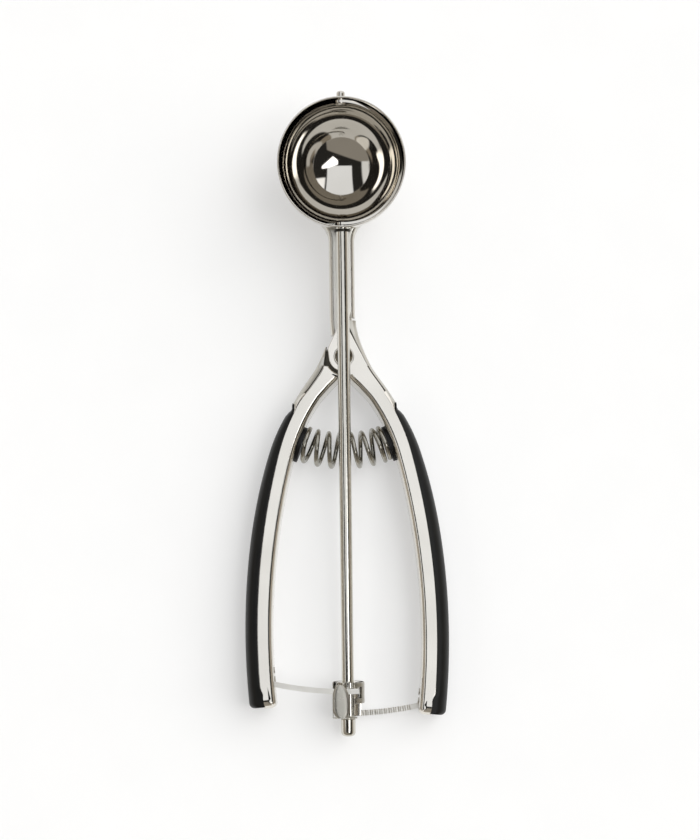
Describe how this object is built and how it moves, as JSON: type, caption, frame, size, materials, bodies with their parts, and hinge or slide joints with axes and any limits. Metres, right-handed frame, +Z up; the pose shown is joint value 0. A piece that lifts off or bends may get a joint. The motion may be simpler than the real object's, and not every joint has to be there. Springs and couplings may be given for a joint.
{
  "type": "cookie scoop",
  "caption": "Squeeze-handle cookie scoop: a round bowl with a sweeping scraper, turned by two toothed racks as the sprung handles close.",
  "frame": {"origin": "centre of the bounding box, on the plane that the handles' backs lie on", "axes": "+Y from the handles towards the bowl, +Z up out of the bowl's mouth, +X to the right of someone looking into the bowl with the handles towards them"},
  "size_m": [0.0676, 0.21, 0.0287],
  "materials": {
    "polished_steel": "mirror-polished stainless steel",
    "handle_steel": "polished stainless sheet",
    "satin_steel": "satin stainless steel",
    "plated_steel": "bright plated steel, slightly uneven",
    "spring_steel": "bright spring wire",
    "dark_steel": "dark satin steel",
    "black_grip": "smooth semi-matt black",
    "black_plastic": "matt black"
  },
  "bodies": {
    "frame": {"bowl": "polished_steel", "neck": "satin_steel", "pivot_rivet": "polished_steel", "pivot_spacer": "satin_steel", "rack_guide": "plated_steel", "spring": "spring_steel"},
    "left_lever": {"left_handle": "handle_steel", "left_grip": "black_grip", "left_rack": "plated_steel", "left_rack_rivets": "satin_steel", "left_spring_seat": "black_plastic"},
    "right_lever": {"right_handle": "handle_steel", "right_grip": "black_grip", "right_rack": "plated_steel", "right_rack_rivets": "satin_steel", "right_spring_seat": "black_plastic"},
    "shaft_unit": {"shaft": "polished_steel", "pinion": "plated_steel", "scraper": "polished_steel", "scraper_pin": "polished_steel", "shaft_collar": "dark_steel", "shaft_end_cap": "polished_steel"}
  },
  "joints": [
    {"name": "squeeze_left", "type": "hinge", "parent": "frame", "child": "left_lever", "pos_m": [0, 0.02048, 0.007], "axis": [0, 0, 1], "range_deg": [0, 5.7], "stiffness_Nm_per_rad": 6, "springref_deg": -2.86, "deforming": ["spring"]},
    {"name": "squeeze_right", "type": "hinge", "parent": "frame", "child": "right_lever", "pos_m": [0, 0.02048, 0.007], "axis": [0, 0, -1], "range_deg": [0, 5.35]},
    {"name": "scraper_sweep", "type": "hinge", "parent": "frame", "child": "shaft_unit", "pos_m": [0, 0.02048, 0.01762], "axis": [0, 0.9957, 0.0926], "range_deg": [0, 157.7]}
  ],
  "couplings": [
    {"joint": "squeeze_right", "follows": "squeeze_left", "ratio": 0.93729},
    {"joint": "scraper_sweep", "follows": "squeeze_left", "ratio": 27.65}
  ]
}
